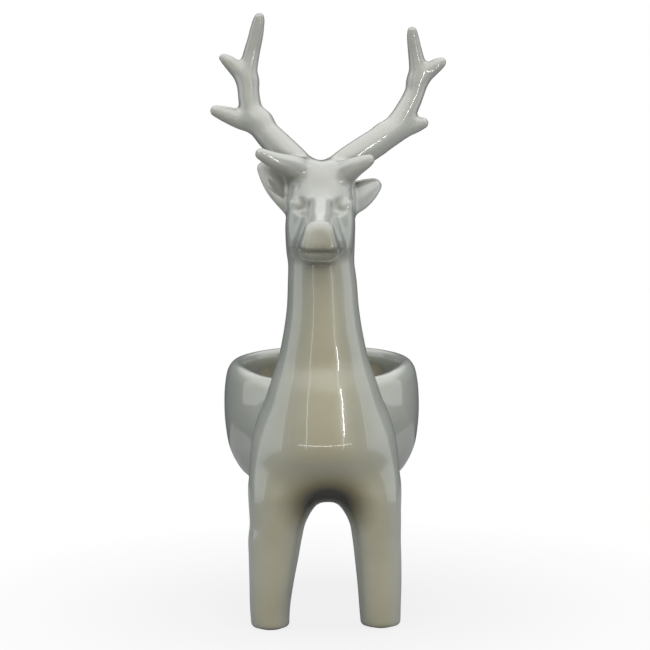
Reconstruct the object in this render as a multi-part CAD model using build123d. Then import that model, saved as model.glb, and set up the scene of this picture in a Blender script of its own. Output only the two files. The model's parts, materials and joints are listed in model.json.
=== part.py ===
"""Glazed ceramic stag television lamp: a standing stag whose back is an open bowl.

The bowl hides a small lampholder, which is bolted through the rump wall and throws its light
up and backwards. Millimetres, +Z up, the stag faces -Y. Left is -X and right is +X, as seen by
someone facing the stag. The origin is under the middle of the whole object's bounding box, on the
surface that the lamp stands on.
"""

import math
import os

from build123d import *

# ---- where the stag stands in the part's frame ------------------------------------------------
MIDPLANE_X = -6.2  # the body's plane of symmetry; the right antler reaches further out than the left
FORELEG_Y = -53.4  # the vertical plane through the two front feet

# ---- ceramic figure, measured from MIDPLANE_X and FORELEG_Y ------------------------------------
PAD_THICK = 1.0
PAD_RADIUS = 7.5
FOOT_Z = PAD_THICK  # the ceramic stands on the pads
RIM_Z = 157.0  # the bowl's rim
FLOOR_Z = 80.0  # the bowl's inside floor
BELLY_Z = 74.0  # the outside of the belly
BOWL_Y = 88.0  # the bowl's centre
SEAM_Z = 178.0  # the luted seam between the body and the neck

# height, half width across X, half length along Y
BOWL_OUTSIDE = [
    (BELLY_Z, 34.0, 38.0),
    (82.0, 47.5, 52.0),
    (92.0, 53.5, 57.5),
    (104.0, 58.3, 61.5),
    (118.0, 61.6, 64.5),
    (133.0, 62.8, 66.0),
    (146.0, 61.6, 65.3),
    (RIM_Z, 57.8, 62.4),
]
BOWL_INSIDE = [
    (FLOOR_Z, 30.0, 33.0),
    (88.0, 43.5, 47.5),
    (98.0, 49.8, 53.5),
    (112.0, 54.6, 57.6),
    (128.0, 56.8, 59.8),
    (144.0, 56.2, 59.8),
    (RIM_Z, 52.6, 57.2),
    (RIM_Z + 6.0, 50.0, 55.0),
]
SHOULDER = ((0, 34, 112), (47, 44, 37))  # centre and half sizes, where the chest meets the bowl
# height, half width, half depth, centre along Y
CHEST_AND_NECK = [
    (78.0, 38.0, 15.0, 1.0),
    (88.0, 46.0, 24.0, 0.0),
    (104.0, 46.8, 28.0, -1.5),
    (124.0, 44.6, 29.5, -1.5),
    (142.0, 38.0, 28.0, 0.0),
    (158.0, 30.5, 25.5, 0.5),
    (SEAM_Z, 26.2, 23.5, 0.0),
]
NECK = [
    (SEAM_Z, 26.2, 23.5, 0.0),
    (196.0, 22.8, 21.5, -2.0),
    (216.0, 20.8, 20.0, -4.0),
    (236.0, 19.6, 19.0, -5.5),
    (256.0, 18.0, 17.0, -4.0),
]
# height, centre X, centre Y, half width, half depth
FRONT_LEG = [
    (FOOT_Z, 34.6, 0.0, 10.0, 10.5),
    (FOOT_Z + 4.0, 34.6, 0.0, 11.8, 12.3),
    (30.0, 33.4, 0.0, 13.6, 13.6),
    (56.0, 31.2, 0.5, 15.8, 15.6),
    (76.0, 29.0, 1.0, 18.4, 18.0),
    (98.0, 26.0, 1.0, 20.5, 20.0),
]
HIND_LEG = [
    (FOOT_Z, 36.5, 122.0, 8.0, 9.5),
    (FOOT_Z + 4.0, 36.5, 122.0, 9.5, 11.2),
    (30.0, 36.0, 125.0, 9.8, 11.8),
    (56.0, 34.6, 125.0, 11.4, 14.0),
    (76.0, 33.2, 121.0, 13.6, 17.5),
    (100.0, 31.0, 114.0, 14.5, 20.0),
]
# centre Y, centre Z, half width, half height, from the back of the skull to the nose
HEAD = [
    (14.0, 271.0, 12.0, 13.0),
    (4.0, 268.5, 19.0, 20.5),
    (-10.0, 264.5, 21.5, 21.5),
    (-22.0, 259.0, 20.5, 18.5),
    (-36.0, 251.5, 15.0, 14.0),
    (-50.0, 246.0, 12.0, 11.0),
    (-58.0, 243.0, 8.5, 7.5),
]
HEAD_TILT = 24.0  # degrees that the muzzle points down
HEAD_SHIFT_X = -1.4  # the head is turned a little, so its middle is off the body's plane

# Antler branches: each point is x, y, z and the radius there. Left and right were bent by hand.
LEFT_ANTLER = {
    "beam": [
        (-7, 3, 279, 9.0),
        (-16, 8, 294, 9.0),
        (-31, 16, 311, 8.2),
        (-41, 21, 325, 6.8),
        (-44, 24, 338, 6.0),
        (-43.6, 25, 352, 5.0),
        (-40, 24, 367, 4.4),
        (-38, 23, 378, 3.8),
        (-37, 22, 382, 1.8),
    ],
    "brow_tine": [
        (-12, 0, 287, 6.0),
        (-21, -9, 293.5, 4.9),
        (-30, -15, 296, 4.2),
        (-36.5, -18, 298, 3.6),
        (-38.3, -19, 298.6, 2.0),
    ],
    "middle_tine": [
        (-35, 18, 316, 6.2),
        (-47, 20, 317, 5.8),
        (-59, 21, 321, 4.4),
        (-65, 22, 323.5, 3.0),
        (-67, 22, 324.2, 1.4),
    ],
    "upper_tine": [
        (-43.5, 25, 342, 5.2),
        (-51, 25, 349, 4.6),
        (-58, 25, 354, 3.4),
        (-61.4, 25, 356.6, 1.5),
    ],
}
RIGHT_ANTLER = {
    "beam": [
        (5, 3, 278, 9.0),
        (17, 8, 292, 9.2),
        (36, 16, 303.5, 8.2),
        (47.5, 20, 313, 7.4),
        (56, 23, 326, 6.4),
        (60.5, 25, 339, 5.8),
        (60.3, 26, 352, 5.0),
        (58.6, 25, 364, 3.6),
        (57.8, 24, 371, 2.6),
        (57.7, 23, 373.5, 1.2),
    ],
    "brow_tine": [
        (11, 0, 284, 6.0),
        (18, -8, 289.5, 4.8),
        (25, -13, 291.5, 4.0),
        (29.4, -15, 292.4, 3.2),
        (31, -15.6, 292.6, 1.6),
    ],
    "middle_tine": [
        (41, 18, 307, 6.2),
        (52, 20, 309.5, 5.4),
        (61, 22, 312.5, 4.6),
        (66, 22, 314.6, 3.2),
        (67.4, 22, 315.2, 1.6),
    ],
    "upper_tine": [
        (60, 25, 341, 5.0),
        (67, 25.5, 346, 4.6),
        (74, 26, 350.5, 3.8),
        (78, 26, 353.2, 2.4),
        (79.2, 26, 354, 1.2),
    ],
}
EAR_HALF_WIDTH = 8.0
EAR_HALF_THICK = 4.0
LEFT_EAR = ((-17, 3, 265), (-38.5, 10, 290.5))  # root and tip
RIGHT_EAR = ((16, 3, 266), (38, 17, 279))

# ---- lampholder, on a horizontal axis through the rump wall ------------------------------------
LAMP_Z = 112.0
BOSS_RADIUS = 14.0
BOSS_INSIDE_Y = 141.5
BOSS_OUTSIDE_Y = 154.6
THREAD_R = 5.1  # outside of the lamp pipe
THREAD_GAP = 0.05
PIPE_BORE_R = 3.6
PIPE_LENGTH = 37.0
PIPE_FRONT_Y = 129.0
HOLE_R = 5.6  # the hole in the ceramic
SOFT_WASHER = (11.5, 1.5)  # outer radius, thickness
STEEL_WASHER = (10.5, 1.0)
NUT_ACROSS_FLATS = 14.3
NUT_THICK = 4.0
BUSHING_BORE_R = 3.3
BUSHING_LENGTH = 7.0

HOUSING_R = 13.5
CHAMBER_R = 7.6
HUB_R = 7.5
HUB_BACK_Y = 134.6
CAP_BACK_Y = 126.0
PARTING_Y = 114.0  # the two housing halves meet here, on the switch shaft
HOUSING_FRONT_Y = 88.0
CHAMBER_FRONT_Y = 107.0
SHELL_BACK_Y = 104.0
SHELL_OUTER_R = 6.5
SHELL_INNER_R = 6.15
HOUSING_SCREW_X = 10.2
TERMINAL_Y = 97.0

SHAFT_R = 1.8
ROTOR_R = 3.6
KNOB_R = 5.6
KNOB_BASE_Z = LAMP_Z + 15.0
KNOB_LENGTH = 11.0
KNOB_RIBS = 12

# ---- lamp bulb ---------------------------------------------------------------------------------
BULB_CAP_R = 5.95
BULB_CAP_LENGTH = 13.5
BULB_TIP_Y = 102.6  # the solder button, resting on the centre contact
BULB_GLASS = [  # distance in front of the cap, radius
    (0.0, 5.3),
    (4.0, 6.2),
    (10.0, 8.8),
    (17.0, 10.9),
    (24.0, 10.6),
    (31.0, 7.6),
    (36.5, 3.4),
]
GLASS_WALL = 0.6

parts = {}


def keep(name, shape):
    """Puts a sub-part in its place in the part's frame, under its node name."""
    parts[name] = Location((MIDPLANE_X, FORELEG_Y, 0)) * shape


def oval(z, half_x, half_y, x=0.0, y=0.0):
    return Location((x, y, z)) * Ellipse(half_x, half_y)


def along_y(y_back, length, radius, x=0.0, z=LAMP_Z):
    """A cylinder on the lamp's axis, or beside it, from y_back forwards to y_back - length."""
    middle = Location((x, y_back - length / 2, z), (90, 0, 0))
    return middle * Cylinder(radius, length)


def ring_y(y_back, length, outer, inner, x=0.0, z=LAMP_Z):
    return along_y(y_back, length, outer, x, z) - along_y(y_back + 1, length + 2, inner, x, z)


def pair_y(inside_y, outside_y, length, outer, inner):
    """Two rings alike, whose back faces are at the two places given."""
    return ring_y(inside_y, length, outer, inner) + ring_y(outside_y, length, outer, inner)


def along_z(z_low, length, radius, x=0.0, y=PARTING_Y):
    return Location((x, y, z_low + length / 2)) * Cylinder(radius, length)


# ---- ceramic -----------------------------------------------------------------------------------
def leg(stations, side):
    return loft([oval(z, hx, hy, side * x, y) for z, x, y, hx, hy in stations])


def body_casting():
    outside = loft([oval(z, hx, hy, 0, BOWL_Y) for z, hx, hy in BOWL_OUTSIDE])
    outside += loft([oval(z, hx, hy, 0, y) for z, hx, hy, y in CHEST_AND_NECK])
    centre, half_sizes = SHOULDER
    outside += Location(centre) * scale(Sphere(1), by=half_sizes)
    for side in (-1, 1):
        outside += leg(FRONT_LEG, side)
        outside += leg(HIND_LEG, side)
    cavity = loft([oval(z, hx, hy, 0, BOWL_Y) for z, hx, hy in BOWL_INSIDE])
    boss = along_y(BOSS_OUTSIDE_Y, BOSS_OUTSIDE_Y - BOSS_INSIDE_Y, BOSS_RADIUS)
    casting = outside - cavity + boss
    return casting - along_y(BOSS_OUTSIDE_Y + 1, BOSS_OUTSIDE_Y - BOSS_INSIDE_Y + 2, HOLE_R)


def neck_and_head_casting():
    neck = loft([oval(z, hx, hy, 0, y) for z, hx, hy, y in NECK])
    sections = []
    for y, z, half_width, half_height in HEAD:
        tilt = math.radians(HEAD_TILT)
        plane = Plane(
            origin=(HEAD_SHIFT_X, y, z),
            x_dir=(1, 0, 0),
            z_dir=(0, -math.cos(tilt), -math.sin(tilt)),
        )
        sections.append(plane * Ellipse(half_width, half_height))
    return neck + loft(sections)


def branch(points):
    """A tapering round tine through points of x, y, z and radius."""
    places = [Vector(*p[:3]) for p in points]
    sections = []
    for i, (x, y, z, radius) in enumerate(points):
        ahead = places[min(i + 1, len(places) - 1)] - places[max(i - 1, 0)]
        plane = Plane(origin=(x, y, z), x_dir=(0, 1, 0), z_dir=ahead.normalized())
        sections.append(plane * Circle(radius))
    return loft(sections)


def antler(branches, crown):
    whole = branch(branches["beam"])
    for name in ("brow_tine", "middle_tine", "upper_tine"):
        whole += branch(branches[name])
    return whole - crown


def ear(root, tip, side, crown):
    """A leaf-shaped ear with a scooped front, cut where it is luted to the head."""
    root, tip = Vector(*root), Vector(*tip)
    length = (tip - root).length
    middle = root + (tip - root) * 0.5
    plane = Plane(origin=middle, x_dir=(-side * 0.35, 1, 0), z_dir=(tip - root).normalized())
    leaf = scale(Sphere(1), by=(EAR_HALF_THICK, EAR_HALF_WIDTH, length / 2))
    scoop = scale(Sphere(1), by=(EAR_HALF_THICK, EAR_HALF_WIDTH * 0.72, length * 0.38))
    leaf -= Location((-EAR_HALF_THICK * 0.8, 0, length * 0.06)) * scoop
    return plane.location * leaf - crown


def pads():
    for name, stations in (("front", FRONT_LEG), ("hind", HIND_LEG)):
        _, x, y, _, _ = stations[0]
        for side, side_name in ((-1, "left"), (1, "right")):
            keep(f"{name}_{side_name}_felt_pad", along_z(0, PAD_THICK, PAD_RADIUS, side * x, y))


def ceramic():
    keep("body_casting", body_casting())
    crown = neck_and_head_casting()
    keep("neck_and_head_casting", crown)
    for name, branches, ear_ends, side in (
        ("left", LEFT_ANTLER, LEFT_EAR, -1),
        ("right", RIGHT_ANTLER, RIGHT_EAR, 1),
    ):
        horn = antler(branches, crown)
        keep(f"{name}_antler", horn)
        keep(f"{name}_ear", ear(*ear_ends, side, crown + horn))


# ---- fixings through the rump ------------------------------------------------------------------
def locknut(y_back):
    hexagon = RegularPolygon(NUT_ACROSS_FLATS / 2, 6, major_radius=False)
    nut = extrude(hexagon, NUT_THICK)
    nut = chamfer(nut.edges().filter_by(Axis.Z, reverse=True), 0.5)
    nut -= Cylinder(THREAD_R + THREAD_GAP, 3 * NUT_THICK)
    return Location((0, y_back, LAMP_Z), (90, 0, 0)) * nut


def fixings():
    pipe_back = PIPE_FRONT_Y + PIPE_LENGTH
    keep("lamp_pipe", ring_y(pipe_back, PIPE_LENGTH, THREAD_R, PIPE_BORE_R))
    inner_r = THREAD_R + 0.2
    soft_r, soft_t = SOFT_WASHER
    steel_r, steel_t = STEEL_WASHER
    inside, outside = BOSS_INSIDE_Y, BOSS_OUTSIDE_Y + soft_t
    keep("rubber_washers", pair_y(inside, outside, soft_t, soft_r, inner_r))
    inside, outside = inside - soft_t, outside + steel_t
    keep("steel_washers", pair_y(inside, outside, steel_t, steel_r, inner_r))
    keep("locknuts", locknut(inside - steel_t) + locknut(outside + NUT_THICK))
    # The bushing screws over the pipe's end, and its lip keeps the flex off the thread.
    lip = 1.5
    bushing = along_y(pipe_back + lip, BUSHING_LENGTH - 2.0, THREAD_R + 1.7)
    bushing = fillet(bushing.edges().sort_by(Axis.Y)[-1], 0.7)
    bushing -= along_y(pipe_back, BUSHING_LENGTH, THREAD_R + THREAD_GAP)
    bushing -= along_y(pipe_back + 5, 10, BUSHING_BORE_R)
    keep("cord_bushing", bushing)


# ---- lampholder --------------------------------------------------------------------------------
def housing():
    screw_r, head_r = 1.25, 2.3
    notch = along_z(LAMP_Z, 20, SHAFT_R + THREAD_GAP)
    cap = along_y(CAP_BACK_Y, CAP_BACK_Y - PARTING_Y, HOUSING_R)
    cap = fillet(cap.edges().sort_by(Axis.Y)[-1], 2.0)
    chamber_back_y = CAP_BACK_Y - 3.0
    cap -= along_y(chamber_back_y, chamber_back_y - PARTING_Y + 1, CHAMBER_R)
    cap -= along_y(CAP_BACK_Y + 1, 6, HUB_R - 1.0)
    cap -= notch
    body = along_y(PARTING_Y, PARTING_Y - HOUSING_FRONT_Y, HOUSING_R - 1.0)
    body += along_y(PARTING_Y, 5.0, HOUSING_R)
    body = chamfer(body.edges().sort_by(Axis.Y)[0], 0.8)
    body -= along_y(PARTING_Y + 1, PARTING_Y + 1 - CHAMBER_FRONT_Y, CHAMBER_R)
    body -= along_y(SHELL_BACK_Y, SHELL_BACK_Y - HOUSING_FRONT_Y + 1, SHELL_OUTER_R + 0.02)
    body -= along_y(CHAMBER_FRONT_Y + 1, 6, 1.6)
    body -= notch
    screw_front = 104.5
    housing_screws, terminal_screws = [], []
    for side, name in ((-1, "left"), (1, "right")):
        x = side * HOUSING_SCREW_X
        cap -= along_y(CAP_BACK_Y + 1, CAP_BACK_Y + 2 - PARTING_Y, screw_r + 0.15, x)
        cap -= along_y(CAP_BACK_Y + 1, 2.4, head_r + 0.2, x)
        body -= along_y(PARTING_Y + 1, PARTING_Y + 1 - screw_front, screw_r + 0.02, x)
        head_back = CAP_BACK_Y - 0.2
        screw = along_y(head_back, 1.2, head_r, x)
        screw += along_y(head_back - 1.0, head_back - 1.0 - screw_front, screw_r, x)
        screw -= Location((x, head_back, LAMP_Z)) * Box(0.6, 1.0, 6.0)
        housing_screws.append(screw)
        plate, terminal = terminals(side)
        body -= plate + terminal
        keep(f"{name}_terminal_plate", plate - terminal)
        terminal_screws.append(cut_slot(terminal, side))
    keep("housing_screws", housing_screws[0] + housing_screws[1])
    keep("terminal_screws", terminal_screws[0] + terminal_screws[1])
    keep("housing_cap", cap)
    keep("housing_body", body)


def terminals(side):
    """The brass plate in a side pocket of the housing, and its binding screw."""
    face_x = HOUSING_R - 1.0
    plate = Location((side * (face_x - 1.6), TERMINAL_Y, LAMP_Z)) * Box(0.8, 7.0, 9.0)
    turn = (0, 90, 0)
    head = Location((side * (face_x - 0.3), TERMINAL_Y, LAMP_Z), turn) * Cylinder(2.7, 1.8)
    shank = Location((side * (face_x - 3.0), TERMINAL_Y, LAMP_Z), turn) * Cylinder(1.4, 3.6)
    return plate, head + shank


def cut_slot(screw, side):
    slot = Location((side * (HOUSING_R - 0.4), TERMINAL_Y, LAMP_Z)) * Box(1.0, 0.7, 6.0)
    return screw - slot


def hub():
    """The threaded hub that turns on to the lamp pipe, with its set screw."""
    neck_back, flange = CAP_BACK_Y, 1.4
    shape = along_y(HUB_BACK_Y, HUB_BACK_Y - neck_back, HUB_R)
    shape += along_y(neck_back + 0.5, 5.0, HUB_R - 1.05)
    shape += along_y(CAP_BACK_Y - 3.0, flange, CHAMBER_R - 0.2)
    shape -= along_y(HUB_BACK_Y + 1, HUB_BACK_Y + 1 - PIPE_FRONT_Y, THREAD_R + THREAD_GAP)
    shape -= along_y(HUB_BACK_Y, 30, PIPE_BORE_R)
    screw_y = (HUB_BACK_Y + CAP_BACK_Y) / 2 + 1
    thread = Location((0, screw_y, LAMP_Z - 7.7)) * Cylinder(1.3, 5.0)
    head = Location((0, screw_y, LAMP_Z - 9.6)) * Cylinder(2.2, 2.0)
    screw = thread + head - Location((0, screw_y, LAMP_Z - 10.4)) * Box(5.0, 0.6, 1.2)
    shape -= Location((0, screw_y, LAMP_Z - 8.0)) * Cylinder(1.32, 6.0)
    keep("hub", shape)
    keep("hub_set_screw", screw)


def switch():
    rotor = Location((0, PARTING_Y, LAMP_Z)) * Cylinder(ROTOR_R, 9.0)
    flat = Location((0, PARTING_Y - ROTOR_R, LAMP_Z)) * Box(8.0, 2.0, 5.0)
    rotor -= flat
    rotor -= Location((0, PARTING_Y + ROTOR_R, LAMP_Z)) * Box(8.0, 2.0, 5.0)
    shaft_low = LAMP_Z + 4.5
    shaft = along_z(shaft_low, KNOB_BASE_Z + KNOB_LENGTH - 2.5 - shaft_low, SHAFT_R - 0.02)
    knob = along_z(KNOB_BASE_Z, KNOB_LENGTH, KNOB_R)
    knob = fillet(knob.edges().sort_by(Axis.Z)[-1], 1.2)
    for i in range(KNOB_RIBS):
        turn = math.radians(360 * (i + 0.5) / KNOB_RIBS)
        x, y = KNOB_R * math.cos(turn), KNOB_R * math.sin(turn)
        knob -= along_z(KNOB_BASE_Z - 1, KNOB_LENGTH - 2.0, 0.75, x, PARTING_Y + y)
    knob -= along_z(KNOB_BASE_Z - 1, KNOB_LENGTH - 1.5, SHAFT_R - 0.02)
    keep("switch_rotor", rotor)
    keep("switch_shaft", shaft)
    keep("switch_knob", knob)
    # A phosphor-bronze leaf that the rotor's flats press and release.
    leaf = Location((0, CHAMBER_FRONT_Y + 1.6, LAMP_Z)) * Box(5.0, 0.5, 10.0)
    foot = Location((0, CHAMBER_FRONT_Y + 0.7, LAMP_Z - 4.4)) * Box(5.0, 1.4, 1.2)
    keep("switch_leaf_spring", leaf + foot)


def contacts():
    shell = ring_y(SHELL_BACK_Y, SHELL_BACK_Y - HOUSING_FRONT_Y - 1.5, SHELL_OUTER_R, SHELL_INNER_R)
    shell += ring_y(SHELL_BACK_Y, 0.4, SHELL_OUTER_R, 3.0)
    keep("screw_shell", shell)
    # The rivet holds the contact leaf in the lamp's bore and carries the current to the switch.
    rivet = along_y(CHAMBER_FRONT_Y + 0.9, CHAMBER_FRONT_Y + 0.9 - SHELL_BACK_Y, 1.5)
    leaf = along_y(SHELL_BACK_Y, 0.5, 2.6)
    dome = along_y(SHELL_BACK_Y - 0.5, 0.8, 1.8)
    keep("centre_contact", rivet + leaf + dome)


# ---- bulb --------------------------------------------------------------------------------------
def bulb_profile(offset):
    """The glass outline, offset inwards, as a closed face turned about the lamp's axis."""
    front_y = BULB_TIP_Y - 1.0 - BULB_CAP_LENGTH
    tip = BULB_GLASS[-1][0] + 1.6 - offset
    points = [(max(r - offset, 0.4), front_y - d) for d, r in BULB_GLASS[:-1]]
    with BuildSketch() as sketch:
        with BuildLine():
            Spline(*points, (0.0, front_y - tip), tangents=((0.1, -1), (-1, 0)))
            Line((0.0, front_y - tip), (0.0, points[0][1]))
            Line((0.0, points[0][1]), points[0])
        make_face()
    return revolve(sketch.sketch, Axis.Y)


def bulb():
    cap_back = BULB_TIP_Y - 1.0
    front_y = cap_back - BULB_CAP_LENGTH
    cap = ring_y(cap_back - 1.5, BULB_CAP_LENGTH - 1.5, BULB_CAP_R, BULB_CAP_R - 0.3)
    insulator = along_y(cap_back, 1.6, 4.4)
    insulator += along_y(cap_back - 1.5, 1.6, BULB_CAP_R - 0.32)
    insulator -= along_y(cap_back + 0.1, 1.0, 2.2)
    button = along_y(BULB_TIP_Y - 0.05, 1.85, 2.1)
    button = fillet(button.edges().sort_by(Axis.Y)[-1], 0.6)
    keep("bulb_cap", cap)
    keep("bulb_insulator", insulator)
    keep("bulb_contact_button", button)
    glass = bulb_profile(0) - bulb_profile(GLASS_WALL)
    neck = ring_y(front_y + 6.0, 6.2, BULB_CAP_R - 0.7, BULB_CAP_R - 1.4)
    glass = Location((0, 0, LAMP_Z)) * glass + neck
    keep("bulb_glass", glass)
    # Glass stem with two lead wires and a looped filament between them.
    stem_front = front_y - 9.0
    stem = along_y(front_y + 5.5, 14.5, 2.0)
    keep("bulb_stem", stem)
    leads, filament_y = None, stem_front - 9.0
    for side in (-1, 1):
        low = Vector(side * 1.2, stem_front - 0.15, LAMP_Z)
        high = Vector(side * 4.2, filament_y, LAMP_Z)
        way = high - low
        wire = Plane(origin=low, z_dir=way.normalized()) * Circle(0.3)
        lead = extrude(wire, way.length)
        leads = lead if leads is None else leads + lead
    keep("bulb_lead_wires", leads)
    coil = Location((0, filament_y - 0.75, LAMP_Z), (0, 90, 0)) * Cylinder(0.45, 9.4)
    keep("bulb_filament", coil)


ceramic()
pads()
fixings()
housing()
hub()
switch()
contacts()
bulb()

os.makedirs("parts", exist_ok=True)
for name, shape in parts.items():
    export_step(shape, f"parts/{name}.step")
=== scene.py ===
"""The looks of the glazed ceramic stag television lamp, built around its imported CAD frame.

The ceramic is one glazed surface. It is sculpted as a signed distance field in millimetres, in the
stag's own axes: x across from the plane of symmetry, y back from the front feet, z up from the
surface the lamp stands on. The frame gives where those axes lie.
"""

import json
import math

import bmesh
import bpy
import numpy as np
import openvdb
from mathutils import Matrix, Vector


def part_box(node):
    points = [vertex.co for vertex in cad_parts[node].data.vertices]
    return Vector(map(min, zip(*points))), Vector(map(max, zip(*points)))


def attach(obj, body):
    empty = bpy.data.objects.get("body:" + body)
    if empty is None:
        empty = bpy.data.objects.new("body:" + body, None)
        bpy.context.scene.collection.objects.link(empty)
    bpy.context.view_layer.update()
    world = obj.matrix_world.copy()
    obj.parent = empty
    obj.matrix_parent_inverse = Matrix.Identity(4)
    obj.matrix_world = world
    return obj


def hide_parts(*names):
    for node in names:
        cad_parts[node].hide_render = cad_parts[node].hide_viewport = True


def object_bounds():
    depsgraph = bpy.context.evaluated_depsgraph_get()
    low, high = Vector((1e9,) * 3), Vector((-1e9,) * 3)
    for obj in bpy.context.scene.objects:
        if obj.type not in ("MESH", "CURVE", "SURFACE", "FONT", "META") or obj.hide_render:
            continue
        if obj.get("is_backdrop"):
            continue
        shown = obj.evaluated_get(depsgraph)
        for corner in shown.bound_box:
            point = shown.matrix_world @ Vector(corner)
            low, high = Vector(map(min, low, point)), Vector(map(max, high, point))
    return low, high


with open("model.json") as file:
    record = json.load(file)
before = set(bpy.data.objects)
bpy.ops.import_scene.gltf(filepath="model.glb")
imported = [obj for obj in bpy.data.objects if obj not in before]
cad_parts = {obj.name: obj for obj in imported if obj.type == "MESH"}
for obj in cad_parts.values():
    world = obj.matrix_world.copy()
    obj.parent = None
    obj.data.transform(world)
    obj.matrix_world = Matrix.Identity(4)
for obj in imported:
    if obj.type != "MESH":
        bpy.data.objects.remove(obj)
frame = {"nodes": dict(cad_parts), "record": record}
cad_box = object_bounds()

MM = 0.001


def middle(node):
    low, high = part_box(node)
    return (low + high) / 2


LAMP_AXIS = middle("lamp_pipe")
RUBBER_THICK, STEEL_THICK = 1.5, 1.0  # of the washers
FRONT_FEET = (middle("front_left_felt_pad") + middle("front_right_felt_pad")) / 2
STAG_ORIGIN = Vector((LAMP_AXIS.x, FRONT_FEET.y, 0.0))
PAD_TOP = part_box("front_left_felt_pad")[1].z / MM


def to_stag(point):
    """A place in the row frame, in metres, as one in the stag's axes, in millimetres."""
    return (Vector(point) - STAG_ORIGIN) / MM


# ---- distance field ----------------------------------------------------------------------------
FAR = 1000.0
BARS_PER_ROW = 10  # straight bars that a limb is made of, from each row to the next
WIDEST_FILLET_ON_A_LIMB = 6


def blend_min(a, b, k):
    """Union of two distances, with a fillet about k wide."""
    h = np.clip(0.5 + 0.5 * (b - a) / k, 0, 1)
    return b + (a - b) * h - k * h * (1 - h)


def blend_max(a, b, k):
    return -blend_min(-a, -b, k)


def within(p, low, high, shape):
    """The shape's distance inside a box, and a large distance everywhere else."""
    near = np.all((p > np.array(low)) & (p < np.array(high)), axis=1)
    d = np.full(len(p), FAR)
    if near.any():
        d[near] = shape(p[near])
    return d


def curve_through(stations):
    """A smooth curve through rows of (place, values...), as a function of the place."""
    rows = np.array(stations, float)
    place, values = rows[:, 0], rows[:, 1:]
    slope = np.gradient(values, place, axis=0)

    def at(x):
        i = np.clip(np.searchsorted(place, x) - 1, 0, len(place) - 2)
        step = place[i + 1] - place[i]
        t = np.clip((x - place[i]) / step, 0, 1)[:, None]
        step = step[:, None]
        start = values[i] * (1 + 2 * t) * (1 - t) ** 2 + slope[i] * step * t * (1 - t) ** 2
        end = values[i + 1] * t**2 * (3 - 2 * t) + slope[i + 1] * step * t**2 * (t - 1)
        return (start + end).T

    return at


def oval(x, y, half_x, half_y, square=2.0):
    """Distance to an ellipse, or with square above 2 to one with fuller corners."""
    x, y = np.abs(x / half_x) + 1e-9, np.abs(y / half_y) + 1e-9
    total = x**square + y**square
    ratio = total ** (1 / square)
    fall = np.hypot(x ** (square - 1) / half_x, y ** (square - 1) / half_y) * ratio / total
    return (ratio - 1) / np.maximum(fall, 1e-6)


def column(p, curve, low, high, low_round, high_round, square=2.0):
    """An upright oval column. The curve gives middle x, middle y, half x and half y at a height."""
    mid_x, mid_y, half_x, half_y = curve(p[:, 2])
    d = oval(p[:, 0] - mid_x, p[:, 1] - mid_y, half_x, half_y, square)
    d = blend_max(d, low - p[:, 2], low_round)
    return blend_max(d, p[:, 2] - high, high_round)


def ellipsoid(p, centre, radii, axes=None):
    """Axes is a 3 by 3 matrix whose rows are the ellipsoid's own axes."""
    q = p - np.array(centre, float)
    if axes is not None:
        q = q @ np.array(axes).T
    radii = np.array(radii, float)
    ratio = np.linalg.norm(q / radii, axis=1)
    fall = np.linalg.norm(q / radii**2, axis=1)
    return ratio * (ratio - 1) / np.maximum(fall, 1e-6)


def taper(p, a, b, radius_a, radius_b):
    """A round bar from a to b whose radius changes along it."""
    a, b = np.array(a, float), np.array(b, float)
    way = b - a
    t = np.clip((p - a) @ way / (way @ way), 0, 1)
    radius = radius_a + (radius_b - radius_a) * t
    return np.linalg.norm(p - a - t[:, None] * way, axis=1) - radius


def limb(p, points):
    """A curved bar through rows of x, y, z and radius."""
    rows = np.array(points, float)
    curve = curve_through(np.column_stack([np.arange(len(rows)), rows]))
    fine = curve(np.linspace(0, len(rows) - 1, (len(rows) - 1) * BARS_PER_ROW + 1)).T
    reach = fine[:, 3].max() + WIDEST_FILLET_ON_A_LIMB
    low, high = fine[:, :3].min(0) - reach, fine[:, :3].max(0) + reach

    def bars(q):
        d = np.full(len(q), FAR)
        for a, b in zip(fine, fine[1:]):
            d = np.minimum(d, taper(q, a[:3], b[:3], a[3], b[3]))
        return d

    return within(p, low, high, bars)


# ---- body --------------------------------------------------------------------------------------
RIM_Z = 161.4  # at the bowl's middle; the rim rises a little to the back
RIM_SLOPE = 0.03
RIM_DIP = 5.0  # how far the rim sinks in front, before it rises into the neck
RIM_DIP_AT, RIM_DIP_LONG = 36.0, 26.0
BOWL_MID = (1.3, 88.0)
BOWL_LONG = 1.05  # the bowl is a little longer than it is wide
# height, half width
BOWL_OUTSIDE = [
    (70, 28), (74, 37), (78, 44.4), (84, 51.6), (92, 57.2), (100, 60.6), (113, 63.0), (131, 63.8),
    (142, 63.1), (151, 61.4), (158, 58.6), (166, 55.4),
]
BOWL_INSIDE = [
    (76, 14), (82, 30), (88, 42), (96, 49.0), (108, 53.4), (122, 55.2), (134, 54.6), (143, 52.8),
    (150, 51.4), (156, 51.2), (166, 53.6),
]
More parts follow.
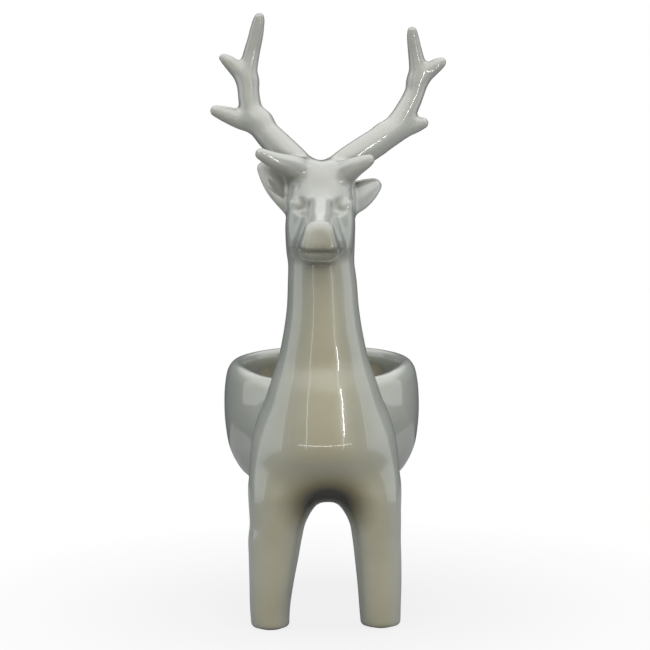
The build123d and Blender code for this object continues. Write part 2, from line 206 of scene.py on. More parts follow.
# height, middle x, middle y, half width, half depth
CHEST = [
    (76, 0, 4, 42, 19), (88, 0, 3, 45, 24), (98, 0, 2, 46.2, 26), (112, 0, 2, 45.8, 27),
    (125, 0, 2, 43.4, 26.5), (136, 0, 3, 39, 25), (146, 0, 4, 32, 22), (156, 0, 4, 24, 18),
]
NECK = [
    (98, 0, 1, 32, 25.5), (110, 0, -0.6, 32, 28.6), (125, 0, -0.8, 31.4, 28.9), (148, 0, 0, 30.4, 26.9),
    (160, 0, 0.6, 29.0, 25.2),
    (167, 0, 0.5, 28.2, 24.2), (177, 0, 0, 26.2, 23.2), (190, 0, -1, 23.8, 22.2),
    (202, 0, -2, 22.2, 21.3), (218, -0.2, -3, 21.2, 20.5), (231, -0.8, -4, 20.2, 20),
    (243, -1.2, -5, 19.8, 19.6), (256, -1.4, -5, 19.6, 18.5), (268, -1.4, -4, 18, 17),
]
SHOULDER = ((0, 36, 112), (43, 44, 36))
LEFT_FORELEG = [
    (0, -34.9, 0, 11.8, 11.9), (12, -35.0, 0, 12.5, 12.5), (29, -33.8, 0, 13.9, 13.5),
    (45, -32.3, 0.3, 15.6, 14.8), (57, -31.2, 0.6, 16.8, 16.2), (66, -29.6, 0.8, 17.4, 17.6),
    (74, -27.8, 1, 19.4, 19), (98, -23, 1, 23, 24),
]
RIGHT_FORELEG = [
    (0, 34.3, 0, 12.4, 12.3), (11, 34.0, 0, 13.0, 13.0), (25, 33.8, 0, 13.7, 13.5),
    (43, 33.0, 0.3, 14.6, 14.4), (56, 32.2, 0.6, 15.2, 16.0), (66, 31.4, 0.8, 16.2, 17.4),
    (74, 29.6, 1, 18.0, 19), (98, 24, 1, 23, 24),
]
HIND_LEG = [
    (0, 36.5, 122, 9.3, 10.6), (8, 36.5, 122.2, 9.7, 11.2), (24, 36.2, 124.6, 9.6, 11.0),
    (40, 35.5, 126.2, 10.4, 12.2), (58, 34.4, 125.0, 12.2, 15.4), (76, 32.6, 120.5, 14.6, 19.6),
    (96, 30, 113, 16.5, 24),
]
BELLY_Z, BELLY_ROUND = 72.5, 14  # the bowl's underside, and how rounded its edge is
BOWL_FLOOR_Z, BOWL_FLOOR_ROUND = 79.5, 16
CAVITY_TOP = 146.0  # above this the neck may run out into the bowl
# The round boss that the lamp pipe goes through, and the flat seats cut in it for the washers.
BOSS_RADIUS, BOSS_EDGE, BOSS_FILLET = 14.0, 1.6, 3
SEAT_RADIUS, SEAT_EDGE = 12.3, 0.6
PIPE_HOLE_RADIUS, PIPE_HOLE_FROM_Y, PIPE_HOLE_EDGE = 5.6, 120, 0.8
PIPE_HOLE_BOX = ((-12, 120, 96), (12, 170, 128))
# How wide the fillets are where one form runs into the next.
CHEST_NECK_FILLET, SHOULDER_FILLET, BOWL_FILLET = 14, 12, 15
BETWEEN_FORELEGS_FILLET, FORELEGS_FILLET, HIND_LEG_FILLET = 15, 11, 12
CAVITY_EDGE, RIM_EDGE, RIM_NECK_FILLET = 8, 12, 14


def bowl(p):
    """The open bowl of the back: its outside, its inside, and the rounded rim."""
    x, y, z = p[:, 0] - BOWL_MID[0], p[:, 1] - BOWL_MID[1], p[:, 2]
    (half,) = curve_through(BOWL_OUTSIDE)(z)
    outside = oval(x, y, half, half * BOWL_LONG)
    outside = blend_max(outside, BELLY_Z - z, BELLY_ROUND)
    (half,) = curve_through(BOWL_INSIDE)(z)
    inside = oval(x, y, half, half * BOWL_LONG)
    inside = blend_max(inside, BOWL_FLOOR_Z - z, BOWL_FLOOR_ROUND)
    return outside, inside


def rump_wall(p, d):
    """Adds the round boss for the washers to both faces of the rump wall, and cuts their flat seats."""
    axis = to_stag(LAMP_AXIS)
    inner, outer = (to_stag(corner).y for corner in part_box("rubber_washers"))
    inner, outer = inner + RUBBER_THICK, outer - RUBBER_THICK
    across = np.hypot(p[:, 0] - axis.x, p[:, 2] - axis.z)
    beyond = np.maximum(p[:, 1] - outer, inner - p[:, 1])
    d = blend_min(d, blend_max(across - BOSS_RADIUS, beyond, BOSS_EDGE), BOSS_FILLET)
    return blend_max(d, -np.maximum(across - SEAT_RADIUS, -beyond), SEAT_EDGE)


def pipe_hole(p):
    """The round hole through the rump wall."""
    axis = to_stag(LAMP_AXIS)
    across = np.hypot(p[:, 0] - axis.x, p[:, 2] - axis.z) - PIPE_HOLE_RADIUS
    return np.maximum(across, PIPE_HOLE_FROM_Y - p[:, 1])


def body(p):
    """Chest, neck, legs and bowl."""
    chest = column(p, curve_through(CHEST), 82, 150, 12, 18)
    neck = column(p, curve_through(NECK), 99, 262, 28, 14)
    d = blend_min(chest, neck, CHEST_NECK_FILLET)
    d = blend_min(d, ellipsoid(p, *SHOULDER), SHOULDER_FILLET)
    outside, inside = bowl(p)
    d = blend_min(d, outside, BOWL_FILLET)
    legs = blend_min(
        column(p, curve_through(LEFT_FORELEG), PAD_TOP, 96, 2.6, 20),
        column(p, curve_through(RIGHT_FORELEG), PAD_TOP, 96, 2.6, 20),
        BETWEEN_FORELEGS_FILLET,
    )
    d = blend_min(d, legs, FORELEGS_FILLET)
    for side in (1, -1):
        hind_leg = column(p * np.array([side, 1, 1]), curve_through(HIND_LEG), PAD_TOP, 98, 3.5, 20)
        d = blend_min(d, hind_leg, HIND_LEG_FILLET)
    # Open the bowl and level its rim. The neck then rises through the front of it.
    d = blend_max(d, -inside, CAVITY_EDGE)
    above = p[:, 2] - RIM_Z - RIM_SLOPE * (p[:, 1] - BOWL_MID[1])
    above += RIM_DIP * np.exp(-(((p[:, 1] - RIM_DIP_AT) / RIM_DIP_LONG) ** 2))
    d = blend_min(blend_max(d, above, RIM_EDGE), neck, RIM_NECK_FILLET)
    # Lower down the neck would fill the bowl, so the bowl is cut out of it again.
    return blend_max(d, -blend_max(inside, p[:, 2] - CAVITY_TOP, 10), 6)


# ---- head --------------------------------------------------------------------------------------
def turned(yaw, roll):
    """Rows are the axes of something turned by yaw about z and roll about y, in degrees."""
    turn = Matrix.Rotation(math.radians(yaw), 3, "Z") @ Matrix.Rotation(math.radians(roll), 3, "Y")
    return np.array(turn.transposed())


HEAD_AT = (-0.7, -4.0, 262.0)
HEAD_TURN = turned(yaw=-2.6, roll=1.6)
# In the head's own axes: x outwards on either side, y back, z up.
# height, middle x, middle y, half width, half depth
SKULL = [
    (-34, 0, 3, 17.6, 15.0), (-28, 0, 1, 18.8, 18.2), (-22, 0, 0, 19.8, 19.6), (-10, 0, 0.5, 20.6, 20.0),
    (2, 0, 1.5, 20.9, 19.8), (10, 0, 3, 20.4, 18.4), (17, 0, 4.5, 18.6, 16.6), (24, 0, 6, 17.0, 14.4),
    (32, 0, 8, 13, 11),
]
# place along y, half width on top, half width at the mouth, top and bottom
MUZZLE = [
    (-70, 4.4, 9.6, -15.0, -20.0), (-56, 7.0, 12.6, -7.0, -20.6), (-48, 6.6, 14.0, -3.4, -20.8),
    (-37, 5.8, 15.0, 0.6, -21.2), (-27, 5.8, 16.0, 5.6, -22.0), (-16, 7.6, 16.8, 10.4, -23.0),
    (-6, 10.0, 17.0, 14.0, -24.0),
]
NOSE = [(-70, 7.6, 11.2, -4.4, -20.2), (-46, 8.2, 11.6, -3.0, -20.2)]
JAW = [
    (-56, 9.0, 13.6, -24.8, -19.0), (-49, 9.0, 14.8, -26.6, -19.0), (-30, 9.0, 16.4, -29.6, -19.0),
    (-8, 9.0, 17.0, -32.0, -18.0),
]
MUZZLE_FRONT, NOSE_FRONT, NOSE_BACK, JAW_FRONT = -55.9, -57.1, -45, -52.8
MUZZLE_LEAN = 0.28  # how far the front runs back for each millimetre up
# x, y, z and radius
CHEEK = [(12.0, -9.6, 0, 7.4), (12.6, -10.8, -7, 7.4), (12.6, -12.0, -14, 7.0), (12.6, -12.6, -20, 6.2)]
# middle, radii, axes
SOCKET = ((13.2, -19.6, 4.6), (7.4, 5.6, 5.6), turned(yaw=24, roll=-24))
EYE = ((15.0, -12.0, 3.8), (4.8, 2.7, 2.9), turned(yaw=24, roll=-16))


def wedge(q, stations, front, back, edge, lean=0.0):
    """A block with a trapezoid section, whose widths and heights change along y."""
    half_top, half_foot, top, foot = curve_through(stations)(q[:, 1])
    rise = np.clip((q[:, 2] - foot) / (top - foot), -0.3, 1.3)
    side = (q[:, 0] - (half_foot + (half_top - half_foot) * rise)) * 0.92
    middle_z, half_z = (top + foot) / 2, np.abs(top - foot) / 2
    d = blend_max(side, (np.abs(q[:, 2] - middle_z) - half_z) * 0.9, edge)
    d = blend_max(d, front - q[:, 1] + lean * (q[:, 2] - foot), edge)
    return blend_max(d, q[:, 1] - back, edge)


def head(p, neck_and_body):
    """Adds the skull, cheeks, muzzle, nose, eyes and jaw to the neck."""
    q = (p - np.array(HEAD_AT)) @ HEAD_TURN.T
    q[:, 0] = np.abs(q[:, 0])
    skull = column(q, curve_through(SKULL), -32, 30, 8, 10, square=2.6)
    d = blend_min(neck_and_body, skull, 5)
    d = blend_min(d, limb(q, CHEEK), 3.4)
    d = blend_min(d, wedge(q, MUZZLE, MUZZLE_FRONT, 6, 6.0, MUZZLE_LEAN), 4.2)
    d = blend_min(d, wedge(q, NOSE, NOSE_FRONT, NOSE_BACK, 4.6, MUZZLE_LEAN), 1.4)
    d = blend_max(d, -ellipsoid(q, *SOCKET), 2.2)
    d = blend_min(d, ellipsoid(q, *EYE), 2.4)
    return blend_min(d, wedge(q, JAW, JAW_FRONT, 4, 4.6), 1.2)


# ---- antlers and ears --------------------------------------------------------------------------
# x, y, z and radius
LEFT_BEAM = [
    (-6, 2, 275.6, 10.5), (-13.8, 7, 288.2, 9.4), (-24.3, 12, 299.4, 8.8), (-34.2, 16, 310.0, 7.9),
    (-41.8, 20, 321.8, 7.0), (-44.0, 23, 335, 6.6), (-44.0, 25, 346, 5.8), (-41.9, 26, 356.6, 5.1),
    (-39.2, 25, 367, 4.6), (-37.3, 23.5, 376, 3.9), (-36.5, 22.5, 379.4, 3.0),
]
LEFT_TINES = [
    [(-10.5, 0, 284, 9.6), (-16.5, -7, 288.2, 7.6), (-23, -12, 291.2, 5.8), (-30.4, -15.5, 294.0, 4.8),
     (-36.8, -18, 297.4, 3.6)],
    [(-36, 18, 315.5, 7.0), (-47, 20, 316.4, 6.2), (-57, 21.5, 319.8, 5.0), (-64.2, 22, 322.4, 3.6)],
    [(-43.8, 25, 340, 5.8), (-50, 25.5, 346.8, 5.0), (-55.6, 25.5, 352.2, 4.0),
     (-59, 25.5, 354.8, 2.8)],
]
RIGHT_BEAM = [
    (4, 2, 275, 10.2), (12.4, 7, 286.8, 9.4), (26, 12, 296.6, 8.9), (37.3, 16, 303.6, 8.5),
    (47.4, 20, 311.4, 7.8), (55.6, 23, 324.4, 6.6), (60.4, 25, 335.6, 6.0), (61.6, 26, 345.6, 5.6),
    (60.2, 26, 355.6, 4.6), (58.6, 25, 365, 3.8), (58, 24, 370, 3.0),
]
RIGHT_TINES = [
    [(9.5, 0, 281.6, 9.6), (14.6, -6.5, 285.0, 7.8), (20, -11, 288.4, 6.0), (25.4, -13.4, 291.2, 4.6),
     (28.6, -14.4, 292.8, 3.4)],
    [(40, 18, 306.5, 6.6), (51, 20, 309.4, 5.4), (59, 21.6, 312, 4.8), (64, 22, 313.4, 3.6)],
    [(60.6, 26, 339, 5.6), (67, 26, 344.2, 5.0), (73, 26, 348.8, 4.2), (76.2, 26, 350.8, 3.0)],
]


ANTLER_FILLET = 4


def antlers(p, d):
    for beam, tines in ((LEFT_BEAM, LEFT_TINES), (RIGHT_BEAM, RIGHT_TINES)):
        horn = limb(p, beam)
        for tine in tines:
            horn = blend_min(horn, limb(p, tine), ANTLER_FILLET)
        d = blend_min(d, horn, ANTLER_FILLET)
    return d


# Along an ear from root to tip: place, middle across, middle out, half width, half thickness.
EAR = [
    (-0.3, 0, 0, 1.0, 4.8), (0.0, 0, 0, 1.0, 4.6), (0.25, 0, 0, 0.96, 4.2), (0.5, 0, 0, 0.82, 3.6),
    (0.72, 0, 0, 0.62, 3.0), (0.88, 0, 0, 0.43, 2.6), (1.0, 0, 0, 0.31, 2.3), (1.1, 0, 0, 0.2, 1.8),
]


# root, tip, the way it faces, half width, depth of the scoop
LEFT_EAR = ((-20, 2, 271.6), (-37.6, 8, 290.8), (0.3, -1, 0.3), 11.4, 3.0)
RIGHT_EAR = ((17, 3, 268.4), (37.0, 13, 277.8), (0.1, 0.9, -0.5), 10.6, 2.6)
EAR_FILLET = 3
SCOOP_RADIUS = 5.0


def ear(p, root, tip, faces, widest, scoop_depth):
    """A leaf-shaped ear from root to tip, scooped out on the side that it faces."""
    root, tip, faces = (Vector(v) for v in (root, tip, faces))
    along = (tip - root).normalized()
    across = along.cross(faces).normalized()
    out = across.cross(along).normalized()
    length = (tip - root).length
    leaf_curve = curve_through(np.array(EAR) * [length, 1, 1, widest, 1])
    scoop_at = (0, 4.0 + SCOOP_RADIUS - scoop_depth, 0.42 * length)

    def leaf(q):
        local = (q - np.array(root)) @ np.array([across, out, along]).T
        cupped = local + np.outer(local[:, 0] ** 2 / widest, [0, -0.2, 0])
        shell = column(cupped, leaf_curve, -8, length, 2, 4)
        scoop = ellipsoid(cupped, scoop_at, (0.74 * widest, SCOOP_RADIUS, 0.56 * length))
        return blend_max(shell, -scoop, 2)

    reach = length / 2 + 16
    centre = np.array((root + tip) / 2)
    return within(p, centre - reach, centre + reach, leaf)


HEAD_FROM_Z = 215  # below this there is no head, antler or ear
RUMP_HALF_WIDTH, RUMP_FROM_Y, RUMP_LOW_Z, RUMP_HIGH_Z = 20, 136, 90, 135


def stag(p):
    """Distance in millimetres from each point to the ceramic's surface, negative inside."""
    d = body(p)
    near_head = p[:, 2] > HEAD_FROM_Z
    if near_head.any():
        q = p[near_head]
        d_head = antlers(q, head(q, d[near_head]))
        for measures in (LEFT_EAR, RIGHT_EAR):
            d_head = blend_min(d_head, ear(q, *measures), EAR_FILLET)
        d[near_head] = d_head
    near_rump = (np.abs(p[:, 0]) < RUMP_HALF_WIDTH) & (p[:, 1] > RUMP_FROM_Y)
    near_rump &= (p[:, 2] > RUMP_LOW_Z) & (p[:, 2] < RUMP_HIGH_Z)
    if near_rump.any():
        d[near_rump] = rump_wall(p[near_rump], d[near_rump])
    return blend_max(d, -within(p, *PIPE_HOLE_BOX, pipe_hole), PIPE_HOLE_EDGE)


GRADIENT_STEP = 0.05


def gradient(p):
    """The field's slope along x, y and z, which is close to the surface's outward normal."""
    steps = GRADIENT_STEP * np.eye(3)
    return np.array([stag(p + step) - stag(p - step) for step in steps]).T / (2 * GRADIENT_STEP)


LONGEST_MOVE = 0.8  # that settling makes at a time
LEAST_STEEPNESS = 0.2


def settle(mesh, rounds):
    """Moves every vertex on to the true surface."""
    co = np.empty(len(mesh.vertices) * 3)
    mesh.vertices.foreach_get("co", co)
    p = co.reshape(-1, 3)
    for _ in range(rounds):
        slope = gradient(p)
        steepness = np.maximum((slope**2).sum(1), LEAST_STEEPNESS)
        move = slope * (stag(p) / steepness)[:, None]
        p = p - np.clip(move, -LONGEST_MOVE, LONGEST_MOVE)
    mesh.vertices.foreach_set("co", p.ravel())


CELL = 1.65
BAND = 3 * CELL  # on each side of the surface, where the grid keeps the distance
FIELD_LOW = np.array([-78.0, -72.0, -3.0])
FIELD_HIGH = np.array([88.0, 164.0, 388.0])


def skin():
    """The field's zero surface as a quad mesh."""
    counts = np.ceil((FIELD_HIGH - FIELD_LOW) / CELL).astype(int)
    field = np.empty(counts, np.float32)
    xs, ys = (FIELD_LOW[i] + CELL * np.arange(counts[i]) for i in (0, 1))
    plan = np.stack(np.meshgrid(xs, ys, indexing="ij"), -1).reshape(-1, 2)
    for k in range(counts[2]):
        level = np.full((len(plan), 1), FIELD_LOW[2] + CELL * k)
        field[:, :, k] = stag(np.hstack([plan, level])).reshape(counts[:2])
    grid = openvdb.FloatGrid(BAND)
    grid.copyFromArray(np.clip(field, -BAND, BAND))
    points, triangles, quads = grid.convertToPolygons(0.0, 0.0)
    mesh = bpy.data.meshes.new("glazed_stag")
    places = FIELD_LOW + CELL * points
    mesh.from_pydata(places.tolist(), [], [*triangles.tolist(), *quads.tolist()])
    mesh.update()
    return mesh


def refine(mesh, low, high):
    """Halves the faces in a box, so that small features there keep their shape."""
    bm = bmesh.new()
    bm.from_mesh(mesh)

    def inside(vert):
        return all(low[i] < c < high[i] for i, c in enumerate(vert.co))

    edges = [e for e in bm.edges if all(inside(vert) for vert in e.verts)]
    bmesh.ops.subdivide_edges(bm, edges=edges, cuts=1, use_grid_fill=True)
    bm.to_mesh(mesh)
    bm.free()


PAINTED_SHADE_POOLS = (  # painted shade patches: how strongly, the middle and the reach each way
    (1.0, (1.5, -20.0, 80.0), (18.5, 20.0, 16.5)),
    (0.22, (0.0, -57.0, 246.0), (13.0, 12.0, 14.0)),
)
HOLLOW_REACHES = (3.0, 14.0)  # how far out a hollow is felt for: close by, and wide
REFLECTION_TINT_TOP, REFLECTION_TINT_FADE = 262, 34  # above this there is no painted reflection tint, and it fades in below
HEAD_BOX = ((-40, -70, 228), (36, 12, 300))


def paint_shade_and_reflection(mesh):
    """Stores on each vertex how deep in a hollow it is, for pooled glaze and painted shade there, how
    strong the painted shade patches are, and how far it faces the stag's front, for a painted reflection."""
    count = len(mesh.vertices)
    co = np.empty(count * 3)
    mesh.vertices.foreach_get("co", co)
    p = co.reshape(-1, 3)
    normal = gradient(p)
    normal /= np.maximum(np.linalg.norm(normal, axis=1), 1e-6)[:, None]
    # How deep each vertex lies in a hollow, for darkening there: pooled glaze and painted shade.
    near, wide = (np.clip(1 - stag(p + out * normal) / out, 0, 1) for out in HOLLOW_REACHES)
    shade_pool = np.zeros(count)
    # Painted shade: a dark patch above the arch between the forelegs, and a faint warm one on the nose.
    for strength, centre, reach in PAINTED_SHADE_POOLS:
        away = (p - np.array(centre)) / np.array(reach)
        shade_pool += strength * np.exp(-(away**2).sum(1))
    # Painted reflection of the warm room in front: browner on faces turned to the stag's front.
    front = np.clip(-normal[:, 1], 0, 1) ** 2 * np.clip((REFLECTION_TINT_TOP - p[:, 2]) / REFLECTION_TINT_FADE, 0, 1)
    rows = np.stack([np.clip(0.7 * near + 0.6 * wide, 0, 1), shade_pool, front, np.ones(count)], 1)
    layer = mesh.color_attributes.new("painted_light_masks", "FLOAT_COLOR", "POINT")
    layer.data.foreach_set("color", rows.ravel())


def to_frame(mesh):
    """Takes a mesh from the stag's millimetres to the frame's metres."""
    mesh.transform(Matrix.Translation(STAG_ORIGIN) @ Matrix.Scale(MM, 4))


def place_piece(name, mesh, body, nodes, slot):
    """Makes a mesh in the stag's millimetres a piece that rides on a body and stands for CAD nodes."""
    to_frame(mesh)
    piece = bpy.data.objects.new(name, mesh)
    bpy.context.scene.collection.objects.link(piece)
    mesh.materials.append(MATERIALS[slot])
    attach(piece, body)
    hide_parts(*nodes)
    return piece


def glazed_stag():
    """The whole ceramic as one glazed piece, in place of its six castings."""
    mesh = skin()
    settle(mesh, 2)
    refine(mesh, *HEAD_BOX)
    settle(mesh, 3)
    paint_shade_and_reflection(mesh)
    mesh.shade_smooth()
    castings = ["body_casting", "neck_and_head_casting", "left_antler", "right_antler"]
    place_piece("glazed_stag", mesh, "figure", [*castings, "left_ear", "right_ear"], "lustre_glaze")


# ---- materials ---------------------------------------------------------------------------------
class Tree:
    """A node tree with short ways to add to it."""

    def __init__(self, tree):
        self.tree = tree

    def node(self, kind, **settings):
        made = self.tree.nodes.new(kind)
        for key, value in settings.items():
            if key in made.inputs:
                made.inputs[key].default_value = value
            else:
                setattr(made, key, value)
        return made

    def link(self, source, target):
        self.tree.links.new(source, target)

    def fill(self, socket, value):
        if isinstance(value, bpy.types.NodeSocket):
            self.link(value, socket)
        else:
            socket.default_value = value if isinstance(value, (int, float)) else (*value, 1)

    def math(self, operation, *values):
        made = self.node("ShaderNodeMath", operation=operation)
        for socket, value in zip(made.inputs, values):
            self.fill(socket, value)
        return made.outputs[0]

    def ramp(self, source, *stops):
        made = self.node("ShaderNodeValToRGB")
        points = made.color_ramp.elements
        while len(points) < len(stops):
            points.new(1.0)
        for point, (where, colour) in zip(points, stops):
            point.position = where
            point.color = (*colour, 1)
        self.link(source, made.inputs["Fac"])
        return made.outputs["Color"]

    def mix(self, factor, a, b, blend="MIX"):
        made = self.node("ShaderNodeMix", data_type="RGBA", blend_type=blend)
        for socket, value in ((made.inputs[0], factor), (made.inputs[6], a), (made.inputs[7], b)):
            self.fill(socket, value)
        return made.outputs[2]


class Material(Tree):
    """A node material with one Principled shader."""

    def __init__(self, name, **sockets):
        self.made = bpy.data.materials.new(name)
        self.made.use_nodes = True
        super().__init__(self.made.node_tree)
        self.shader = self.tree.nodes["Principled BSDF"]
        for key, value in sockets.items():
            self.shader.inputs[key.replace("_", " ")].default_value = value

    def to_shader(self, source, socket):
        self.link(source, self.shader.inputs[socket])

    def place(self):
        return self.node("ShaderNodeTexCoord").outputs["Object"]

    def noise(self, scale, detail=3.0, roughness=0.5):
        made = self.node("ShaderNodeTexNoise", Scale=scale, Detail=detail, Roughness=roughness)
        self.link(self.place(), made.inputs["Vector"])
        return made.outputs["Fac"]

    def bump(self, height, distance, strength=1.0):
        made = self.node("ShaderNodeBump", Distance=distance, Strength=strength)
        self.link(height, made.inputs["Height"])
        self.to_shader(made.outputs["Normal"], "Normal")


def lustre_glaze():
    """Pearly warm grey glaze, paler up the head, with a painted reflection browning the front faces, darker
    in hollows as pooled glaze and painted shade, and painted shade patches above the arch and on the nose.
    """
    made = Material(
        "lustre_glaze", Metallic=0.04, Roughness=0.35, Coat_Weight=1.0, Coat_Roughness=0.03, Coat_IOR=1.6
    )
    painted_light_masks = made.node("ShaderNodeAttribute", attribute_name="painted_light_masks")
    split = made.node("ShaderNodeSeparateColor")
    made.link(painted_light_masks.outputs["Color"], split.inputs["Color"])
    hollow, shade_pool, front = split.outputs
    cool = made.ramp(made.noise(16.0, 4.0), (0.35, (0.275, 0.295, 0.275)), (0.68, (0.335, 0.352, 0.328)))
    # The browner colour of the painted reflection on front faces.
    front_reflection_tint = made.ramp(made.noise(22.0, 4.0), (0.35, (0.300, 0.278, 0.192)), (0.68, (0.362, 0.340, 0.252)))
    pale = made.ramp(made.noise(18.0, 4.0), (0.35, (0.300, 0.304, 0.278)), (0.68, (0.355, 0.358, 0.330)))
    height = made.node("ShaderNodeSeparateXYZ")
    made.link(made.place(), height.inputs[0])
    # Paler from 200 mm up to 300 mm.
    paler_above = made.ramp(height.outputs["Z"], (0.20, (0, 0, 0)), (0.30, (1, 1, 1)))
    colour = made.mix(paler_above, made.mix(front, cool, front_reflection_tint), pale)
    # Darker in hollows: pooled glaze and painted shade.
    hollow_shade = made.ramp(hollow, (0.25, (1, 1, 1)), (0.95, (0.36, 0.34, 0.29)))
    colour = made.mix(1.0, colour, hollow_shade, "MULTIPLY")
    # Painted shade patches, darkest above the arch.
    painted_shade_blotch = made.ramp(shade_pool, (0.04, (1, 1, 1)), (0.32, (0.48, 0.44, 0.32)), (0.64, (0.045, 0.035, 0.025)))
    colour = made.mix(1.0, colour, painted_shade_blotch, "MULTIPLY")
    made.to_shader(colour, "Base Color")
    speck = made.ramp(made.noise(900.0, 2.0), (0.72, (0.28,) * 3), (0.80, (0.5,) * 3))
    made.to_shader(speck, "Roughness")
    made.bump(made.noise(55.0, 3.0), 0.0005, 0.25)
    return made.made


def metal(name, dark, light, smooth, rough, scratch=420.0):
    """Metal whose colour and gloss vary where it was handled, with fine scratches."""
    made = Material(name, Metallic=1.0)
    cloud = made.noise(210.0, 5.0, 0.6)
    made.to_shader(made.ramp(cloud, (0.32, dark), (0.62, light)), "Base Color")
    worn = made.ramp(made.noise(scratch, 6.0, 0.7), (0.3, (smooth,) * 3), (0.75, (rough,) * 3))
    made.to_shader(worn, "Roughness")
    made.bump(made.noise(scratch * 4, 3.0), 0.00005, 0.4)
    return made.made


def moulded(name, dark, light, gloss, dust):
    """Moulded plastic, rubber or enamel, mottled, with dust where the noise is high."""
    made = Material(name, Coat_Weight=gloss, Coat_Roughness=0.12)
    body = made.ramp(made.noise(160.0, 5.0, 0.65), (0.35, dark), (0.7, light))
    pale = tuple(0.6 * c + 0.25 for c in light)
    dusty = made.ramp(made.noise(950.0, 4.0, 0.7), (0.55, (0, 0, 0)), (0.85, (dust,) * 3))
    made.to_shader(made.mix(dusty, body, pale), "Base Color")
    rough = 0.75 - 0.45 * gloss
    worn = made.ramp(made.noise(500.0), (0.3, (rough,) * 3), (0.7, (rough + 0.12,) * 3))
    made.to_shader(worn, "Roughness")
    made.bump(made.noise(1500.0, 2.0), 0.00006, 0.5)
    return made.made


def felt():
    made = Material("felt", Sheen_Weight=0.6, Sheen_Roughness=0.6)
    fibres = made.noise(2600.0, 6.0, 0.8)
    made.to_shader(made.ramp(fibres, (0.35, (0.05, 0.10, 0.06)), (0.7, (0.20, 0.30, 0.20))), "Base Color")
    made.to_shader(made.ramp(fibres, (0.0, (0.9,) * 3), (1.0, (1.0,) * 3)), "Roughness")
    made.bump(fibres, 0.0004, 0.9)
    return made.made


def clear_glass():
    made = Material("clear_glass", Transmission_Weight=1.0, IOR=1.5)
    tint = made.ramp(made.noise(60.0), (0.3, (0.93, 0.95, 0.94)), (0.7, (0.98, 0.99, 0.98)))
    made.to_shader(tint, "Base Color")
    smears = made.ramp(made.noise(260.0, 5.0), (0.5, (0.01,) * 3), (0.8, (0.09,) * 3))
    made.to_shader(smears, "Roughness")
    return made.made


MATERIALS = {
    "lustre_glaze": lustre_glaze(),
    "felt": felt(),
    "brass": metal("brass", (0.36, 0.24, 0.09), (0.80, 0.60, 0.28), 0.22, 0.42),
    "zinc_steel": metal("zinc_steel", (0.36, 0.36, 0.35), (0.66, 0.66, 0.64), 0.28, 0.5),
    "black_rubber": moulded("black_rubber", (0.012, 0.012, 0.012), (0.04, 0.04, 0.038), 0.0, 0.35),
    "phenolic": moulded("phenolic", (0.022, 0.010, 0.006), (0.075, 0.034, 0.018), 0.8, 0.12),
    "brown_plastic": moulded("brown_plastic", (0.08, 0.038, 0.02), (0.17, 0.09, 0.05), 0.5, 0.12),
    "spring_bronze": metal("spring_bronze", (0.40, 0.20, 0.09), (0.78, 0.46, 0.25), 0.2, 0.38),
    "clear_glass": clear_glass(),
    "black_glass": moulded("black_glass", (0.008, 0.006, 0.009), (0.03, 0.025, 0.032), 1.0, 0.05),
    "solder": metal("solder", (0.30, 0.30, 0.30), (0.62, 0.62, 0.61), 0.3, 0.6, 240.0),
    "tungsten": metal("tungsten", (0.16, 0.16, 0.17), (0.38, 0.38, 0.39), 0.35, 0.6),
    "nickel": metal("nickel", (0.44, 0.41, 0.36), (0.74, 0.72, 0.67), 0.18, 0.36),
}


# ---- lamp fittings -----------------------------------------------------------------------------
def span(node, axis):
    """A node's lowest and highest place along one of the stag's axes, in millimetres."""
    return [to_stag(corner)[axis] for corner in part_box(node)]


def half_width(node):
    low, high = span(node, 0)
    return (high - low) / 2


def mid_of(node, axis):
    return sum(span(node, axis)) / 2


LAMP_Z = to_stag(LAMP_AXIS).z
THREAD_ROWS = 8  # rings to each turn of a thread
E12_PITCH, E12_DEPTH = 2.54, 0.15
PIPE_PITCH, PIPE_DEPTH = 0.94, 0.22
SHARP_ANGLE = math.radians(38)
WASHER_BORE = 5.3


def along_lamp(a, b, place):
    """Rings about the horizontal lamp axis."""
    return np.stack([a, np.full_like(a, place), LAMP_Z + b], -1)


def upright(x, y):
    """Rings about an upright axis through x and y."""
    return lambda a, b, place: np.stack([x + a, y + b, np.full_like(a, place)], -1)


def ring_mesh(name, rings, closed):
    """A skin over rings of points. A closed one joins its last ring to its first, for a tube."""
    count, sides, _ = rings.shape
    index = np.arange(count * sides).reshape(count, sides)
    beside = np.roll(index, -1, axis=1)
    quads = np.stack([index, beside, np.roll(beside, -1, axis=0), np.roll(index, -1, axis=0)], -1)
    faces = quads[: count if closed else count - 1].reshape(-1, 4).tolist()
    if not closed:
        faces += [index[0].tolist(), index[-1].tolist()]
    mesh = bpy.data.meshes.new(name)
    mesh.from_pydata(rings.reshape(-1, 3).tolist(), [], faces)
    bm = bmesh.new()
    bm.from_mesh(mesh)
    bmesh.ops.remove_doubles(bm, verts=bm.verts, dist=1e-4)
    bmesh.ops.recalc_face_normals(bm, faces=bm.faces)
    bm.to_mesh(mesh)
    bm.free()
    mesh.shade_smooth()
    mesh.set_sharp_from_angle(angle=SHARP_ANGLE)
    return mesh


def lathe(name, rows, place=along_lamp, closed=True, sides=64):
    """Turns rows of (place along the axis, radius). A radius may be a function of the angle."""
    angle = np.linspace(0, 2 * math.pi, sides, endpoint=False)
    rings = []
    for along, radius in rows:
        radius = radius(angle) if callable(radius) else radius
        rings.append(place(radius * np.cos(angle), radius * np.sin(angle), along))
    return ring_mesh(name, np.array(rings), closed)


